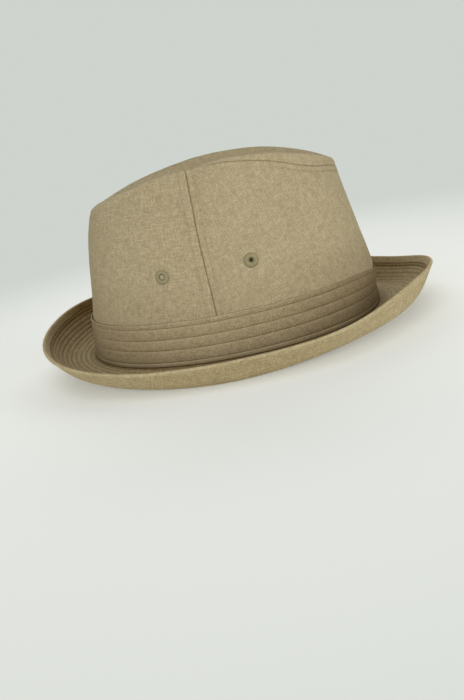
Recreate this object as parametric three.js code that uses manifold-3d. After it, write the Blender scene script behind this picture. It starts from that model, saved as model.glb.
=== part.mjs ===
// Fedora of tan linen: two crown panels, a pressed-in tip, a pleated band, a turned-up brim and four eyelets.
// Millimetres, +Z up. The brim rests on z = 0, the front looks toward -Y and the left side toward +X.
import * as THREE from "three";
import { mergeVertices } from "three/addons/utils/BufferGeometryUtils.js";
import Module from "manifold-3d";

const wasm = await Module();
wasm.setup();

// Sizes that run through the whole hat
const steps = 60; // facets around the hat
const gap = 0.3; // air between two pieces
const crownWall = 1.6; // linen with its backing
const brimWall = 2.2; // two layers and the interlining
const bandFoot = 8.3; // height of the brim's top beside the band
const seamTurn = 92.3; // side seams, degrees round from the back

// Crown ovals: half lengths to the front and the back, half width, and how square the front is
const crownOvals = {
  base: { z: 0, front: 104.7, back: 104.7, wide: 86.3, square: 2 },
  bandTop: { z: 26.2, front: 102.8, back: 101.5, wide: 82.7, square: 2 },
  ridge: { z: 118.1, front: 79.4, back: 86.1, wide: 65.7, square: 2.78 },
};

// The ridge round the tip is highest over the seams and falls to both ends
const ridgeFall = {
  front: { drop: 15.9, power: 1.7 },
  back: { drop: 17.6, power: 2.57 },
};
const ridgeLean = { side: 0.25, back: 2.1, front: -2.4 }; // how much higher the left of the ridge sits
const seamDip = { depth: 1.2, spread: 9 }; // the left side seam pulls the ridge down
const wallSwell = { front: 4.8, back: -0.55 }; // full front wall below the ridge, a little hollow at the back
const fold = { mean: 5, frontMore: 1.27, frontSoft: 1.26, lift: 0.33, out: 0.15 }; // soft fold of the ridge
const dent = { floor: 92, power: 1.8 }; // trough pressed along the middle of the tip

// Seam of the tip every 20 degrees from the back, in millimetres past the foot of the fold
const tipSeam = [
  { place: "back", past: -3 },
  { place: "beside the back", past: -3.5 },
  { place: "rear corner", past: -5.5 },
  { place: "rear side", past: -2.05 },
  { place: "side", past: 1.6 },
  { place: "fore side", past: 6 },
  { place: "fore corner", past: 7.2 },
  { place: "front corner", past: 7.3 },
  { place: "beside the front", past: 7.3 },
  { place: "front", past: 7.3 },
];

// Band of laid pleats that open upward: shares of its height, and how far each stands off the crown
const bandHeight = 26.7;
const bandFolds = [
  { name: "top edge", upper: 1.0, lower: 0.915, outUpper: 1.6, outLower: 1.4 },
  { name: "upper pleat", upper: 0.905, lower: 0.645, outUpper: 2.1, outLower: 1.4 },
  { name: "middle pleat", upper: 0.635, lower: 0.39, outUpper: 2.2, outLower: 1.4 },
  { name: "lower pleat", upper: 0.38, lower: 0.095, outUpper: 2.3, outLower: 1.5 },
  { name: "foot edge", upper: 0.085, lower: 0.0, outUpper: 2.3, outLower: 2.1 },
];

// Brim: slope beside the band and slope at the rim, degrees, going round from the back over the left side
const brimWidth = 43.3; // along the cloth, from the band to the rim
const brimOval = { long: 107, wide: 88.6 };
const brimTuck = 3.9; // part of the brim under the crown and the band
const brimCurl = { from: 0.2, over: 0.6 }; // stretch of the width where the slope turns up
const brimRows = [
  { place: "back", inner: -0.5, outer: 57.5 },
  { place: "back left", inner: -4.8, outer: 68 },
  { place: "left rear", inner: -13.2, outer: 48 },
  { place: "left", inner: -28, outer: 56.8 },
  { place: "left fore", inner: -20, outer: 49.6 },
  { place: "front left", inner: -4.5, outer: 51.6 },
  { place: "front", inner: 6.2, outer: 72.8 },
  { place: "front right", inner: 19, outer: 62.5 },
  { place: "right fore", inner: -1.5, outer: 59 },
  { place: "right", inner: -27.6, outer: 56.4 },
  { place: "right rear", inner: -18, outer: 56 },
  { place: "back right", inner: -19, outer: 55 },
];

// Thread-worked eyelets, two on each side
const eyelet = { middle: 92.6, turn: 16.6, height: 55.8, radius: 4.6, hole: 1.5, proud: 0.7 };

// Angle of each facet column: from the left seam over the back to the right seam, then on over the front
const backSteps = Math.round((2 * seamTurn * steps) / 360);
function columnTurn(i) {
  if (i <= backSteps) return seamTurn - (i * 2 * seamTurn) / backSteps;
  return -seamTurn - ((i - backSteps) * (360 - 2 * seamTurn)) / (steps - backSteps);
}

const turnOf = (degrees) => THREE.MathUtils.degToRad(degrees);
const mix = THREE.MathUtils.lerp;
const power = (value, p) => Math.sign(value) * Math.abs(value) ** p;

// Point of an oval at an angle that runs from the back (+Y) over the left side (+X)
function ovalPoint(oval, degrees) {
  const across = Math.sin(turnOf(degrees));
  const along = Math.cos(turnOf(degrees));
  const bend = along < 0 ? 2 / oval.square : 1;
  const half = along < 0 ? oval.front : oval.back;
  return new THREE.Vector3(oval.wide * power(across, bend), half * power(along, bend), oval.z);
}

function ridgeHeight(degrees) {
  const across = Math.sin(turnOf(degrees));
  const along = Math.cos(turnOf(degrees));
  const end = along < 0 ? ridgeFall.front : ridgeFall.back;
  const bend = along < 0 ? 2 / crownOvals.ridge.square : 1;
  const fall = end.drop * Math.abs(along) ** (bend * end.power);
  const lean = ridgeLean.side + ridgeLean.back * Math.max(along, 0) + ridgeLean.front * Math.max(-along, 0);
  const away = (((degrees % 360) + 360) % 360) - seamTurn;
  const dip = seamDip.depth * Math.exp(-((away / seamDip.spread) ** 2));
  return crownOvals.ridge.z - fall + lean * across - dip;
}

function foldSize(degrees) {
  const along = Math.cos(turnOf(degrees));
  return fold.mean - fold.frontMore * along + fold.frontSoft * Math.max(-along, 0) ** 2;
}

// Sharp corner that the soft fold of the ridge is rounded from
function cornerPoint(degrees) {
  const size = foldSize(degrees);
  const ridge = crownOvals.ridge;
  const out = fold.out * size;
  const oval = { ...ridge, front: ridge.front + out, back: ridge.back + out, wide: ridge.wide + out };
  const corner = ovalPoint(oval, degrees);
  corner.z = ridgeHeight(degrees) + fold.lift * size;
  return corner;
}

// Crown wall from its base to the corner: steep behind the band, leaning in above it
function wallPoint(degrees, share) {
  const corner = cornerPoint(degrees);
  const z = corner.z * share;
  const low = crownOvals.bandTop.z;
  if (z < low) {
    const t = z / low;
    const point = ovalPoint(crownOvals.base, degrees).lerp(ovalPoint(crownOvals.bandTop, degrees), t);
    return point.setZ(z);
  }
  const t = (z - low) / (corner.z - low);
  const across = Math.sin(turnOf(degrees));
  const along = Math.cos(turnOf(degrees));
  const swell = (along < 0 ? wallSwell.front : wallSwell.back) * along ** 2 * 4 * t * t * (1 - t);
  const oval = crownOvals.bandTop;
  const out = new THREE.Vector3(across / oval.wide, along / oval.back, 0).setLength(swell);
  return ovalPoint(oval, degrees).lerp(corner, t).setZ(z).add(out);
}

// Tip from its middle to the corner, a trough that rises to both sides
function tipPoint(degrees, share) {
  const corner = cornerPoint(degrees);
  const z = mix(dent.floor, corner.z, share ** dent.power);
  return new THREE.Vector3(corner.x * share, corner.y * share, z);
}

// Crown profile: 0 to 1 up the wall, 1 to 2 over the fold, 2 to 3 down to the middle of the tip
function crownPoint(degrees, station) {
  const size = foldSize(degrees);
  const corner = cornerPoint(degrees);
  const wallEnd = 1 - size / corner.z;
  const tipEnd = 1 - (0.8 * size) / Math.hypot(corner.x, corner.y);
  if (station <= 1) return wallPoint(degrees, wallEnd * station);
  if (station >= 2) return tipPoint(degrees, tipEnd * (3 - station));
  const curve = new THREE.QuadraticBezierCurve3(
    wallPoint(degrees, wallEnd),
    corner,
    tipPoint(degrees, tipEnd),
  );
  return curve.getPoint(station - 1);
}

function crownNormal(degrees, station) {
  if (station > 2.999) return new THREE.Vector3(0, 0, 1);
  const up = crownPoint(degrees, station + 0.01).sub(crownPoint(degrees, Math.max(station - 0.01, 0)));
  const round = crownPoint(degrees + 0.5, station).sub(crownPoint(degrees - 0.5, station));
  return up.cross(round).normalize();
}

// Point under the crown's outer face by a depth
function crownShell(degrees, station, depth) {
  return crownPoint(degrees, station).addScaledVector(crownNormal(degrees, station), -depth);
}

// Station moved along the profile by a distance in millimetres
function moved(degrees, station, distance) {
  const length = crownPoint(degrees, station + 0.02).distanceTo(crownPoint(degrees, station - 0.02));
  return station + (0.04 * distance) / length;
}

// Station a distance in millimetres past the tip's seam
function seamStation(degrees, past) {
  const fromBack = THREE.MathUtils.radToDeg(Math.acos(Math.cos(turnOf(degrees))));
  const last = tipSeam.length - 1;
  const place = (fromBack / 180) * last;
  const row = Math.floor(place);
  const at = (k) => tipSeam[last - Math.abs(last - Math.abs(row + k))].past;
  const away = catmull(at(-1), at(0), at(1), at(2), place - row) + past;
  const side = away < 0 ? [1, 0.75, 0.5] : [1, 1.5, 2];
  const [foot, half, end] = side.map((station) => crownPoint(degrees, station));
  const length = (foot.distanceTo(half) + half.distanceTo(end)) / Math.abs(side[2] - 1);
  return 1 + away / length;
}

// Value of a brim column at an angle, eased through the rows
function brimValue(column, degrees) {
  const count = brimRows.length;
  const place = ((((degrees % 360) + 360) % 360) / 360) * count;
  const row = Math.floor(place);
  const at = (k) => brimRows[(row + k + count) % count][column];
  return THREE.MathUtils.degToRad(catmull(at(-1), at(0), at(1), at(2), place - row));
}

function catmull(before, start, end, after, t) {
  const bend = 2 * before - 5 * start + 4 * end - after + t * (3 * (start - end) + after - before);
  return start + 0.5 * t * (end - before + t * bend);
}

// Point of the brim at a share of its width, off its middle layer by an offset
function brimPoint(degrees, share, offset) {
  const inner = brimValue("inner", degrees);
  const outer = brimValue("outer", degrees);
  const slopeAt = (s) =>
    mix(inner, outer, THREE.MathUtils.smoothstep((s - brimCurl.from) / brimCurl.over, 0, 1));
  const across = Math.sin(turnOf(degrees));
  const along = Math.cos(turnOf(degrees));
  const out = new THREE.Vector2(across / brimOval.wide, along / brimOval.long).normalize();
  let run = Math.min(share, 0) * brimWidth;
  let rise = -brimWall / 2;
  const cuts = 40;
  for (let k = 0; k < cuts && share > 0; k++) {
    const slope = slopeAt(((k + 0.5) / cuts) * share);
    run += (Math.cos(slope) * share * brimWidth) / cuts;
    rise += (Math.sin(slope) * share * brimWidth) / cuts;
  }
  const slope = share < 0 ? 0 : slopeAt(share);
  run -= offset * Math.sin(slope);
  rise += offset * Math.cos(slope);
  const x = brimOval.wide * across + out.x * run;
  const y = brimOval.long * along + out.y * run;
  return new THREE.Vector3(x, y, Math.max(rise, -bandFoot));
}

// Solid from a closed grid whose vertices are moved to the points a function gives
function shaped(grid, columns, pointAt) {
  const position = grid.getAttribute("position");
  for (let k = 0; k < position.count; k++) {
    const point = pointAt(k % columns, Math.floor(k / columns));
    position.setXYZ(k, point.x, point.y, point.z + bandFoot);
  }
  return weld(grid);
}

function weld(geometry) {
  geometry.deleteAttribute("normal");
  geometry.deleteAttribute("uv");
  return mergeVertices(geometry, 1e-4);
}

// Closed ring from the loops of points that a function gives around the hat
function ringSolid(loopAt) {
  const loops = [];
  for (let i = 0; i <= steps; i++) loops.push(loopAt(columnTurn(i % steps)));
  const count = loops[0].length;
  const grid = new THREE.TorusGeometry(2, 1, count, steps);
  return shaped(grid, steps + 1, (i, j) => loops[i][j % count]);
}

function brimLoop(degrees) {
  const shares = [-brimTuck / brimWidth];
  for (let k = 0; k <= 9; k++) shares.push(k / 9);
  const top = shares.map((s) => brimPoint(degrees, s, brimWall / 2));
  const under = shares.map((s) => brimPoint(degrees, s, -brimWall / 2));
  const rimEnd = brimPoint(degrees, 1, 0);
  const rimBack = brimPoint(degrees, 0.98, 0);
  const nose = rimEnd.clone().sub(rimBack).setLength(brimWall * 0.35);
  return [rimEnd.clone().add(nose), ...top.reverse(), ...under];
}

function bandLoop(degrees) {
  const corner = cornerPoint(degrees);
  const wallEnd = 1 - foldSize(degrees) / corner.z;
  const at = (share, out) => {
    const z = gap + share * bandHeight;
    return crownShell(degrees, z / corner.z / wallEnd, -out);
  };
  const outside = [];
  for (const laid of [...bandFolds].reverse()) {
    outside.push(at(laid.lower, laid.outLower), at(laid.upper, laid.outUpper));
  }
  const inside = [1, 0.5, 0].map((share) => at(share, gap));
  return [...outside, ...inside];
}

// Half of the crown wall between the two side seams
function crownPanel(fromTurn, toTurn) {
  const across = Math.round(((toTurn - fromTurn) * steps) / 360);
  const up = 9;
  const grid = new THREE.BoxGeometry(1, 1, 1, across, up, 1);
  const position = grid.getAttribute("position");
  const ease = (gap / 2 / crownOvals.base.wide) * THREE.MathUtils.RAD2DEG;
  return shaped(grid, 1, (i, k) => {
    const u = position.getX(k) + 0.5;
    const v = position.getY(k) + 0.5;
    const outside = position.getZ(k) > 0;
    const degrees = mix(toTurn - ease, fromTurn + ease, u);
    const foot = moved(degrees, 0.01, gap) - 0.01;
    const head = seamStation(degrees, -gap / 2);
    return crownShell(degrees, mix(foot, head, v), outside ? 0 : crownWall);
  });
}

function crownTip() {
  const overFold = 4;
  const inward = 7;
  const rows = overFold + inward;
  const grid = new THREE.SphereGeometry(1, steps, 2 * rows + 1);
  return shaped(grid, steps + 1, (i, j) => {
    const degrees = columnTurn(i);
    const under = j > rows;
    const row = under ? 2 * rows + 1 - j : j;
    const edge = seamStation(degrees, gap / 2);
    const station = row < inward ? mix(3, 2, row / inward) : mix(2, edge, (row - inward) / overFold);
    return crownShell(degrees, station, under ? crownWall : 0);
  });
}

// Frame of an eyelet: its middle on the crown's outer face and its axis along the face's normal
function eyeletFrame(degrees) {
  const corner = cornerPoint(degrees);
  const station = eyelet.height / corner.z / (1 - foldSize(degrees) / corner.z);
  const middle = crownPoint(degrees, station);
  const turn = new THREE.Quaternion();
  turn.setFromUnitVectors(new THREE.Vector3(0, 1, 0), crownNormal(degrees, station));
  middle.z += bandFoot;
  return new THREE.Matrix4().compose(middle, turn, new THREE.Vector3(1, 1, 1));
}

function eyeletRing(degrees) {
  const { radius, hole, proud } = eyelet;
  const foot = -crownWall - gap;
  const profile = [
    new THREE.Vector2(hole, foot),
    new THREE.Vector2(radius - 0.3, foot),
    new THREE.Vector2(radius, foot + 0.3),
    new THREE.Vector2(radius, proud - 0.4),
    new THREE.Vector2(radius - 0.7, proud),
    new THREE.Vector2(hole + 0.7, proud),
    new THREE.Vector2(hole, proud - 0.5),
    new THREE.Vector2(hole, foot),
  ];
  return weld(new THREE.LatheGeometry(profile, 16)).applyMatrix4(eyeletFrame(degrees));
}

function solidOf(geometry) {
  const mesh = new wasm.Mesh({
    numProp: 3,
    vertProperties: new Float32Array(geometry.getAttribute("position").array),
    triVerts: new Uint32Array(geometry.index.array),
  });
  return new wasm.Manifold(mesh);
}

function geometryOf(solid) {
  const mesh = solid.getMesh();
  const geometry = new THREE.BufferGeometry();
  geometry.setAttribute("position", new THREE.BufferAttribute(mesh.vertProperties, 3));
  geometry.setIndex(new THREE.BufferAttribute(mesh.triVerts, 1));
  return geometry;
}

// Panel with a round hole for each eyelet on it
function pierced(panel, turns) {
  let solid = solidOf(panel);
  for (const degrees of turns) {
    const drill = weld(new THREE.CylinderGeometry(eyelet.radius + gap, eyelet.radius + gap, 8, 16));
    solid = solid.subtract(solidOf(drill.applyMatrix4(eyeletFrame(degrees))));
  }
  return geometryOf(solid);
}

const hat = new THREE.Group();
hat.name = "fedora";

const linen = { crown: 0xa8956c, band: 0x97835d, brim: 0x9c875e, thread: 0x93855f };
function add(name, geometry, color) {
  const material = new THREE.MeshStandardMaterial({ color, roughness: 0.95, metalness: 0 });
  const mesh = new THREE.Mesh(geometry, material);
  mesh.name = name;
  hat.add(mesh);
}

const eyelets = {
  left_front: eyelet.middle + eyelet.turn,
  left_rear: eyelet.middle - eyelet.turn,
  right_rear: -eyelet.middle + eyelet.turn,
  right_front: 360 - eyelet.middle - eyelet.turn,
};
const frontHoles = [eyelets.left_front, eyelets.right_front];
const rearHoles = [eyelets.left_rear, eyelets.right_rear];
add("crown_front", pierced(crownPanel(seamTurn, 360 - seamTurn), frontHoles), linen.crown);
add("crown_back", pierced(crownPanel(-seamTurn, seamTurn), rearHoles), linen.crown);
add("crown_tip", crownTip(), linen.crown);
add("hat_band", ringSolid(bandLoop), linen.band);
add("brim", ringSolid(brimLoop), linen.brim);
for (const [place, degrees] of Object.entries(eyelets)) {
  add(`eyelet_${place}`, eyeletRing(degrees), linen.thread);
}

// The middle of the hat's box stands over the origin
const middle = new THREE.Box3().setFromObject(hat).getCenter(new THREE.Vector3());
for (const piece of hat.children) piece.geometry.translate(-middle.x, -middle.y, 0);

export default hat;
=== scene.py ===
# Fedora of tan linen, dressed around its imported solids
from bisect import bisect_left
from functools import lru_cache
from math import atan2, copysign, cos, degrees, exp, floor, hypot, pi, radians, sin

import bmesh
import bpy
from mathutils import Matrix, Vector, noise


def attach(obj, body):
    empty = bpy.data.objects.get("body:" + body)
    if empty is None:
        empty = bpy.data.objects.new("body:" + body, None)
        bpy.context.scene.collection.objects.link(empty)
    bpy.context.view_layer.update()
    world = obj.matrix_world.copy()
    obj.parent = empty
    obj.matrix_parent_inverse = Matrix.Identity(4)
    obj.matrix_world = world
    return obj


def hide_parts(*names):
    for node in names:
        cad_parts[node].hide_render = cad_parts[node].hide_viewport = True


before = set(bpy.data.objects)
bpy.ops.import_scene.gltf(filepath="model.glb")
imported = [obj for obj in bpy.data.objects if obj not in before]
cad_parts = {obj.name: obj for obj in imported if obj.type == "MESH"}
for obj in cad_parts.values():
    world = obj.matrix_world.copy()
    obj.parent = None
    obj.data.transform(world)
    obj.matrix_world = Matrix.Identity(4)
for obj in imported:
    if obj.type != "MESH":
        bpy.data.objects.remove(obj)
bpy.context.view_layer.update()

mm = 0.001
mergeAt = 2e-6  # metres

# Placing that every piece shares, in millimetres
hat = {
    "bandFoot": 8.3,  # height of the brim's top beside the band
    "middleX": -0.063,  # the hat's box stands over the origin
    "middleY": 2.402,
    "seamTurn": 92.3,  # side seams, degrees round from the back over the left side
}


def mix(start, end, share):
    return start + (end - start) * share


def smooth(value):
    value = min(max(value, 0), 1)
    return value * value * (3 - 2 * value)


def rising(value, start, over):
    return smooth((value - start) / over)


def falling(value, end, over):
    return smooth((end - value) / over)


def bell(distance, width):
    return exp(-((distance / width) ** 2))


def catmull(before, start, end, after, t):
    bend = 2 * before - 5 * start + 4 * end - after + t * (3 * (start - end) + after - before)
    return start + 0.5 * t * (end - before + t * bend)


def fromBack(turn):
    return abs((turn + 180) % 360 - 180)


def placed(point):
    return Vector((point.x - hat["middleX"], point.y - hat["middleY"], point.z + hat["bandFoot"])) * mm


def signedPower(value, power):
    return copysign(abs(value) ** power, value)


def roundTurns(count):
    return [360 * k / count for k in range(count + 1)]


# Shares to the left and to the back at one angle
def headings(turn):
    return sin(radians(turn)), cos(radians(turn))


def roundNoise(turn, around, place):
    across, along = headings(turn)
    return noise.noise(Vector((across * around, along * around, place)))


def runLengths(points):
    lengths = [0.0]
    for before, after in zip(points, points[1:]):
        lengths.append(lengths[-1] + (after - before).length)
    return lengths


# Stops along a length: close together near the seam ends, wider between them
def easedStops(total, fine, reach, coarse, bothEnds=False, growth=1.3):
    goal = total / 2 if bothEnds else total
    stops, step = [0.0], fine
    while stops[-1] < goal:
        if stops[-1] > reach:
            step = min(step * growth, coarse)
        stops.append(stops[-1] + step)
    stops = [stop * goal / stops[-1] for stop in stops]
    if bothEnds:
        stops += [total - stop for stop in reversed(stops[:-1])]
    return stops


# Cloth laid on a grid: pointAt gives place, crease (the amount of painted shade) and wear (real wear, and
# painted light below the brim's back corners), clothAt the flat coordinates of the weave
def layCloth(acrossStops, alongStops, pointAt, clothAt):
    mesh = bmesh.new()
    columns, rows = len(acrossStops) - 1, len(alongStops) - 1
    bmesh.ops.create_grid(mesh, x_segments=columns, y_segments=rows, size=0.5)
    cloth = mesh.loops.layers.uv.new("cloth")
    crease = mesh.verts.layers.float.new("crease")
    wear = mesh.verts.layers.float.new("wear")
    flat = {}
    for vert in mesh.verts:
        u = acrossStops[round((vert.co.x + 0.5) * columns)]
        v = alongStops[round((vert.co.y + 0.5) * rows)]
        flat[vert] = Vector(clothAt(u, v)) * mm
        point, vert[crease], vert[wear] = pointAt(u, v)
        vert.co = placed(point)
    for face in mesh.faces:
        for loop in face.loops:
            loop[cloth].uv = flat[loop.vert]
    bmesh.ops.remove_doubles(mesh, verts=mesh.verts, dist=mergeAt)
    return mesh


def turnOutward(mesh):
    bmesh.ops.recalc_face_normals(mesh, faces=mesh.faces)
    inside = Vector((0, 0, 0.05))  # a point under the crown
    facing = sum((f.calc_center_median() - inside).dot(f.normal) * f.calc_area() for f in mesh.faces)
    if facing < 0:
        bmesh.ops.reverse_faces(mesh, faces=mesh.faces)


def newObject(name, mesh, material):
    data = bpy.data.meshes.new(name)
    mesh.to_mesh(data)
    mesh.free()
    data.materials.append(material)
    thing = bpy.data.objects.new(name, data)
    bpy.context.collection.objects.link(thing)
    return thing


def makePiece(name, mesh, material, stands=(), wall=0):
    turnOutward(mesh)
    for face in mesh.faces:
        face.smooth = True
    piece = newObject(name, mesh, material)
    if wall:
        thick = piece.modifiers.new("wall", "SOLIDIFY")
        thick.thickness = wall * mm
        thick.offset = -1
        thick.use_even_offset = True
    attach(piece, "root")
    if stands:
        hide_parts(*stands)
    print(name, len(piece.data.polygons), "faces")
    return piece


# Node helpers
def addNode(tree, kind, values=None, **settings):
    node = tree.nodes.new(kind)
    for name, value in settings.items():
        setattr(node, name, value)
    for key, value in (values or {}).items():
        if isinstance(value, bpy.types.NodeSocket):
            tree.links.new(value, node.inputs[key])
        else:
            node.inputs[key].default_value = value
    return node


def calc(tree, operation, *terms, clamp=False):
    terms = dict(enumerate(terms))
    return addNode(tree, "ShaderNodeMath", terms, operation=operation, use_clamp=clamp).outputs[0]


def vectorMath(tree, operation, values, output=0):
    return addNode(tree, "ShaderNodeVectorMath", values, operation=operation).outputs[output]


def addNoise(tree, place, scale, detail, roughness=0.5):
    values = {"Vector": place, "Scale": scale, "Detail": detail, "Roughness": roughness}
    return addNode(tree, "ShaderNodeTexNoise", values).outputs


def blendColor(tree, share, first, second, how="MIX"):
    values = {0: share, 6: first, 7: second}
    return addNode(tree, "ShaderNodeMix", values, data_type="RGBA", blend_type=how).outputs[2]


def shadeRange(tree, value, low, high, start, end):
    values = {"Value": value, "From Min": low, "From Max": high, "To Min": start, "To Max": end}
    return addNode(tree, "ShaderNodeMapRange", values, interpolation_type="SMOOTHSTEP").outputs[0]


def newGroup(name, inputs, outputs):
    tree = bpy.data.node_groups.new(name, "ShaderNodeTree")
    for title, kind in inputs:
        tree.interface.new_socket(title, in_out="INPUT", socket_type="NodeSocket" + kind)
    for title, kind in outputs:
        tree.interface.new_socket(title, in_out="OUTPUT", socket_type="NodeSocket" + kind)
    return tree, tree.nodes.new("NodeGroupInput").outputs, tree.nodes.new("NodeGroupOutput").inputs


# Linen yarn and how it takes colour
linen = {
    "threads": 1250,  # to the metre
    "driftScale": 150,
    "drift": 0.0012,  # metres that the yarns wander
    "yarnApart": 3.71,  # parts neighbouring yarns in the noise
    "warpPlace": 1.7,
    "weftPlace": 9.2,
    "slubRun": 0.2,  # change along a yarn, for each thread it crosses
    "slubRoughness": 0.65,
    "yarnPower": (0.3, 0.7, 0.95, 0.4),  # thin to full yarn, by its tone
    "crimp": 0.45,  # rise and fall over and under the next yarn
    "toneRange": (0.28, 0.72, 0, 1),
    "patchScale": 22,
    "patchRoughness": 0.6,
    "patch": 0.15,
    "rubbed": (0.35, 0.65, 0.3, 1),
    "gapShade": (0.1, 0.85, 0.3, 1),
    "gapBlend": 0.75,
    "roughness": (0.2, 0.9, 0.97, 0.86),  # from the gaps to the tops of the yarn
    "relief": 0.6,
    "bumpReach": 0.0005,
    "shader": {"Specular IOR Level": 0.15, "Sheen Weight": 0.06, "Sheen Roughness": 0.5},
}


# Plain weave of slubby linen yarn, on the flat coordinates of the cloth
def linenWeaveGroup():
    tree, given, result = newGroup(
        "linenWeave",
        [
            ("Cloth", "Vector"), ("Threads", "Float"), ("Light", "Color"), ("Dark", "Color"),
            ("Crease", "Float"), ("Crease Tint", "Color"), ("Wear", "Float"), ("Worn", "Color"),
        ],
        [("Color", "Color"), ("Roughness", "Float"), ("Height", "Float")],
    )
    wander = addNoise(tree, given["Cloth"], linen["driftScale"], 2)["Color"]
    drift = vectorMath(tree, "SUBTRACT", {0: wander, 1: (0.5, 0.5, 0.5)})
    far = (linen["drift"], linen["drift"], 0)
    moved = vectorMath(tree, "MULTIPLY_ADD", {0: drift, 1: far, 2: given["Cloth"]})
    scaled = vectorMath(tree, "SCALE", {0: moved, "Scale": given["Threads"]})
    axes = addNode(tree, "ShaderNodeSeparateXYZ", {0: scaled})
    u, v = axes.outputs[0], axes.outputs[1]

    def yarnTone(row, run, shift):
        number = calc(tree, "MULTIPLY", calc(tree, "FLOOR", row), linen["yarnApart"])
        along = calc(tree, "MULTIPLY", run, linen["slubRun"])
        spot = addNode(tree, "ShaderNodeCombineXYZ", {0: number, 1: along, 2: shift}).outputs[0]
        return addNoise(tree, spot, 1, 3, linen["slubRoughness"])[0]

    def yarnBody(wave, tone):
        power = shadeRange(tree, tone, *linen["yarnPower"])
        return calc(tree, "POWER", calc(tree, "ABSOLUTE", wave), power)

    def yarnOver(way, wave, crimp):
        crossing = calc(tree, "MULTIPLY", calc(tree, "SIGN", way), wave)
        return calc(tree, "MULTIPLY_ADD", crossing, crimp, 1 - linen["crimp"])

    waveU = calc(tree, "SINE", calc(tree, "MULTIPLY", u, pi))
    waveV = calc(tree, "SINE", calc(tree, "MULTIPLY", v, pi))
    warpTone, weftTone = yarnTone(u, v, linen["warpPlace"]), yarnTone(v, u, linen["weftPlace"])
    warp = calc(tree, "MULTIPLY", yarnBody(waveU, warpTone), yarnOver(waveU, waveV, linen["crimp"]))
    weft = calc(tree, "MULTIPLY", yarnBody(waveV, weftTone), yarnOver(waveV, waveU, -linen["crimp"]))
    height = calc(tree, "MAXIMUM", warp, weft)
    onTop = calc(tree, "GREATER_THAN", warp, weft)
    tones = {0: onTop, 2: weftTone, 3: warpTone}
    tone = addNode(tree, "ShaderNodeMix", tones, data_type="FLOAT").outputs[0]

    # Broad patches where the cloth took the dye differently
    patch = addNoise(tree, given["Cloth"], linen["patchScale"], 4, linen["patchRoughness"])[0]
    yarnShare = shadeRange(tree, tone, *linen["toneRange"])
    patchy = calc(tree, "SUBTRACT", patch, 0.5)
    share = calc(tree, "MULTIPLY_ADD", patchy, linen["patch"], yarnShare, clamp=True)
    color = blendColor(tree, share, given["Dark"], given["Light"])
    # Wear lightens the colour toward Worn: real wear, and painted light on the brim's underside
    rubbed = calc(tree, "MULTIPLY", given["Wear"], shadeRange(tree, patch, *linen["rubbed"]), clamp=True)
    color = blendColor(tree, rubbed, color, given["Worn"])
    gap = shadeRange(tree, height, *linen["gapShade"])
    gapColor = addNode(tree, "ShaderNodeCombineColor", {0: gap, 1: gap, 2: gap}).outputs[0]
    color = blendColor(tree, linen["gapBlend"], color, gapColor, "MULTIPLY")
    # Painted shade: the crease attribute darkens the colour toward the Crease Tint
    color = blendColor(tree, given["Crease"], color, given["Crease Tint"], "MULTIPLY")
    tree.links.new(color, result["Color"])
    tree.links.new(shadeRange(tree, height, *linen["roughness"]), result["Roughness"])
    tree.links.new(height, result["Height"])
    return tree


sewing = {
    "fibreScale": 2600,
    "patchScale": 140,
    "patch": 1.2,
    "relief": 0.5,
    "bumpReach": 0.0002,
    "shader": {"Roughness": 0.8, "Specular IOR Level": 0.3},
}


# Twisted sewing thread, on object coordinates
def threadGroup():
    tree, given, result = newGroup(
        "threadFibre",
        [
            ("Place", "Vector"), ("Light", "Color"), ("Dark", "Color"),
            ("Wear", "Float"), ("Worn", "Color"),
        ],
        [("Color", "Color"), ("Height", "Float")],
    )
    fibre = addNoise(tree, given["Place"], sewing["fibreScale"], 3)[0]
    patch = addNoise(tree, given["Place"], sewing["patchScale"], 2)[0]
    patchy = calc(tree, "SUBTRACT", patch, 0.5)
    share = calc(tree, "MULTIPLY_ADD", patchy, sewing["patch"], fibre, clamp=True)
    color = blendColor(tree, share, given["Dark"], given["Light"])
    tree.links.new(blendColor(tree, given["Wear"], color, given["Worn"]), result["Color"])
    tree.links.new(fibre, result["Height"])
    return tree


linenWeave = linenWeaveGroup()
threadFibre = threadGroup()


def newMaterial(name, tint):
    material = bpy.data.materials.new(name)
    material.use_nodes = True
    material.diffuse_color = (*tint[:3], 1)
    return material, material.node_tree, material.node_tree.nodes["Principled BSDF"]


def setInputs(node, values):
    for title, value in values.items():
        node.inputs[title].default_value = value


def addBump(tree, height, strength, reach):
    values = {"Height": height, "Strength": strength, "Distance": reach}
    return addNode(tree, "ShaderNodeBump", values).outputs[0]


def linenMaterial(name, look):
    material, tree, shader = newMaterial(name, look["Light"])
    cloth = addNode(tree, "ShaderNodeUVMap", uv_map="cloth").outputs[0]
    weave = addNode(tree, "ShaderNodeGroup", node_tree=linenWeave)
    setInputs(weave, {"Threads": linen["threads"], **look})
    tree.links.new(cloth, weave.inputs["Cloth"])
    for title in ("Crease", "Wear"):
        shade = addNode(tree, "ShaderNodeAttribute", attribute_name=title.lower())
        tree.links.new(shade.outputs["Fac"], weave.inputs[title])
    bump = addBump(tree, weave.outputs["Height"], linen["relief"], linen["bumpReach"])
    tree.links.new(weave.outputs["Color"], shader.inputs["Base Color"])
    tree.links.new(weave.outputs["Roughness"], shader.inputs["Roughness"])
    tree.links.new(bump, shader.inputs["Normal"])
    setInputs(shader, {**linen["shader"], "Sheen Tint": look["Light"]})
    return material


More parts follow.
